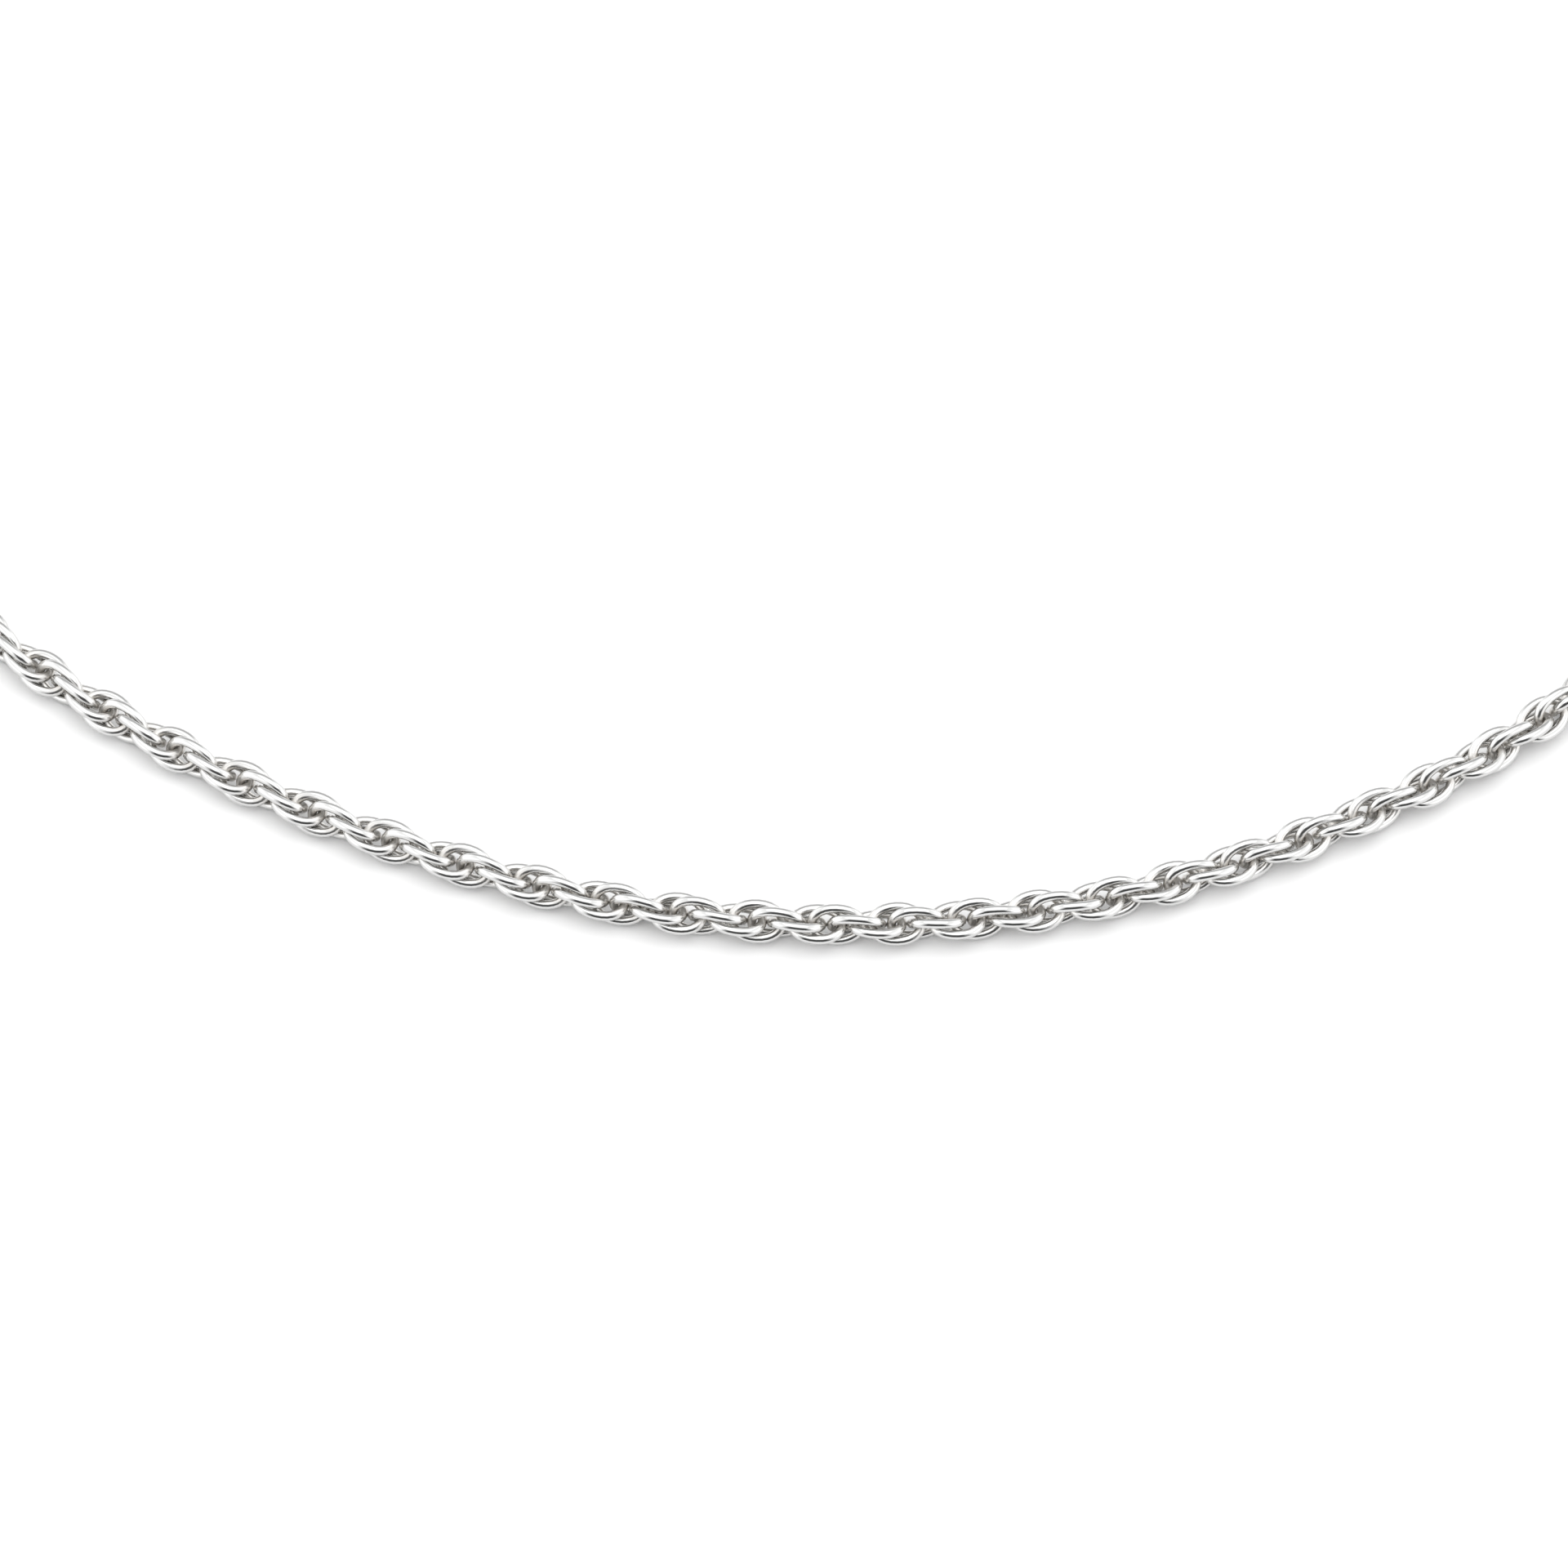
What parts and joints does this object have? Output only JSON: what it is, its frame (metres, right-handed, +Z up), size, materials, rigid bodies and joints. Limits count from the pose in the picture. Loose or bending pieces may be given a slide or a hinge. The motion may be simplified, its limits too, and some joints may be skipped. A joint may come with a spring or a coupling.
{
  "type": "braided chain necklace",
  "caption": "Silver chain necklace of twisted oval links, closed by a small round clasp and laid flat in a loose oval loop.",
  "frame": {"origin": "on the surface that the necklace lies on, under the middle of its overall width and depth", "axes": "+Z up from the surface; +Y towards the clasp at the back of the loop; +X to the wearer's left when the loop is seen from the front with the clasp at the back"},
  "size_m": [0.1474, 0.1471, 0.0029],
  "materials": {
    "silver": "polished silver"
  },
  "bodies": {
    "root": {"chain": "silver", "end_ring": "silver", "jump_ring": "silver", "clasp": "silver"}
  },
  "joints": []
}
